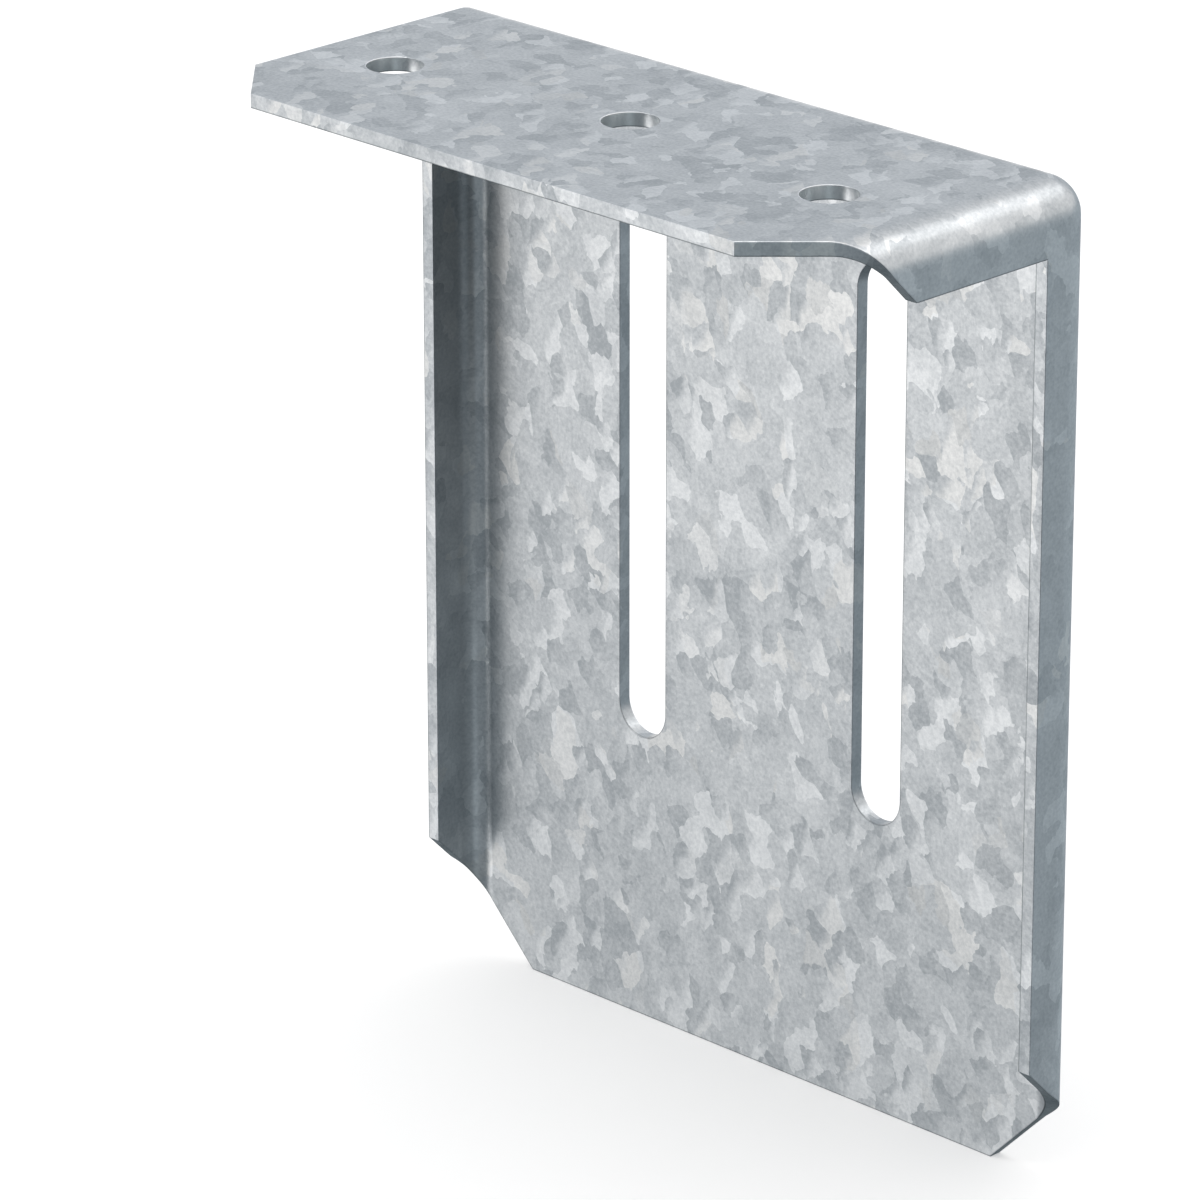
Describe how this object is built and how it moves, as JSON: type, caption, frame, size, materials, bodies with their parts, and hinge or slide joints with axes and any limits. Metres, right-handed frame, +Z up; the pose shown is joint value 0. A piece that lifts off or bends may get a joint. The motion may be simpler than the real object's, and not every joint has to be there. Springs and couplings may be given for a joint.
{
  "type": "slide clip connector",
  "caption": "Folded galvanised steel clip: a slotted web lets a wall stud slide up and down, and an anchor flange drawn into its stiffened side fixes it under a floor or beam.",
  "frame": {"origin": "midway between the two outer anchor holes, on the anchor flange's top face", "axes": "+Z up, out of the anchor flange towards what it is fixed to; +Y out of the web's back, towards the stud; +X along the row of anchor holes, towards the stiffened side"},
  "size_m": [0.0825, 0.0378, 0.1016],
  "materials": {
    "galvanised_sheet": "hot-dip galvanised steel with a soft blue-grey spangle"
  },
  "bodies": {
    "root": {"slide_clip": "galvanised_sheet"}
  },
  "joints": []
}
